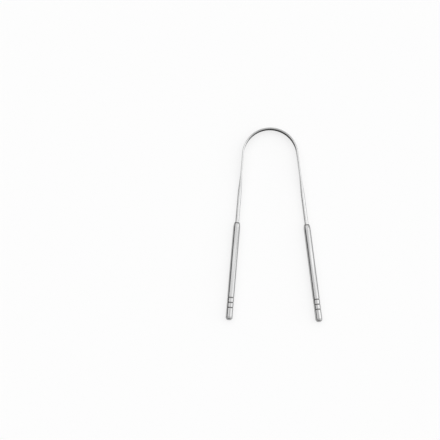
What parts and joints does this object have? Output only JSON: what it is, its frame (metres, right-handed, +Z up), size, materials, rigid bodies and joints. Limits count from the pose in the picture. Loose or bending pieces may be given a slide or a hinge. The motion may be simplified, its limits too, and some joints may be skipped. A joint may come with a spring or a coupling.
{
  "type": "tongue scraper",
  "caption": "U-shaped steel tongue scraper: a wire bow flattened into a scraping band, with slim tube handles that have ring grooves and rounded ends.",
  "frame": {"origin": "on the table under the middle of the tool's bounding box, with the tool lying on its side", "axes": "+Y along the tool from the handles to the bow, +X across it towards the right handle, +Z up"},
  "size_m": [0.0594, 0.1216, 0.0042],
  "materials": {
    "polished_wire_steel": "polished stainless steel, fine grain along the wire",
    "handle_steel": "polished stainless steel tube, fine grain along its length",
    "plug_steel": "turned and polished stainless steel"
  },
  "bodies": {
    "root": {"scraper_bow": "polished_wire_steel", "left_handle": "handle_steel", "right_handle": "handle_steel", "left_end_plug": "plug_steel", "right_end_plug": "plug_steel"}
  },
  "joints": []
}
